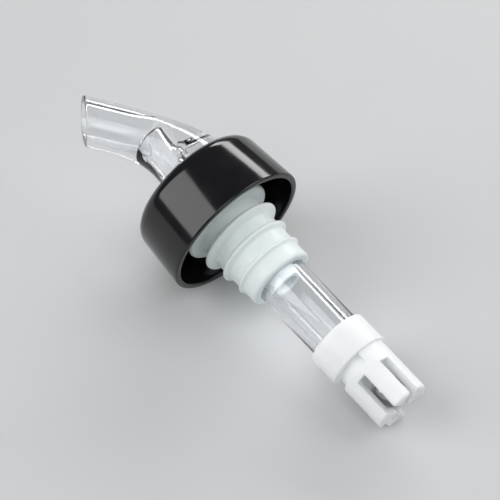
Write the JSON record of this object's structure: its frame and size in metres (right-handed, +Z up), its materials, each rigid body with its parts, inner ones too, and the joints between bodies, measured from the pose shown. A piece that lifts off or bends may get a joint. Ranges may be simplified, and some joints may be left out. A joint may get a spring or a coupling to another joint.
{
  "type": "measured liquor pourer",
  "caption": "Measured liquor pourer: clear bent spout on a black collar, milky finned bottle stopper, clear tube and slotted white cage with a steel ball that slides to cut off the pour.",
  "frame": {"origin": "on the stopper's axis, at the underside of the seat flange where the bottle's lip stops", "axes": "+Z up the stopper's axis to the spout, +X the way the spout bends, +Y the side of the vent hole"},
  "size_m": [0.038, 0.038, 0.1113],
  "materials": {
    "clear_plastic": "clear polished",
    "black_plastic": "polished",
    "milky_plastic": "milky satin",
    "pale_plastic": "translucent",
    "white_plastic": "satin",
    "polished_steel": "polished"
  },
  "bodies": {
    "pourer": {"spout": "clear_plastic", "collar": "black_plastic", "stopper": "milky_plastic", "measuring_tube": "clear_plastic", "valve_seat": "pale_plastic", "ball_cage": "white_plastic"},
    "ball": {"timing_ball": "polished_steel"}
  },
  "joints": [
    {"name": "ball_travel", "type": "slide", "parent": "pourer", "child": "ball", "axis": [0, 0, 1], "range_m": [0, 0.03245]}
  ]
}
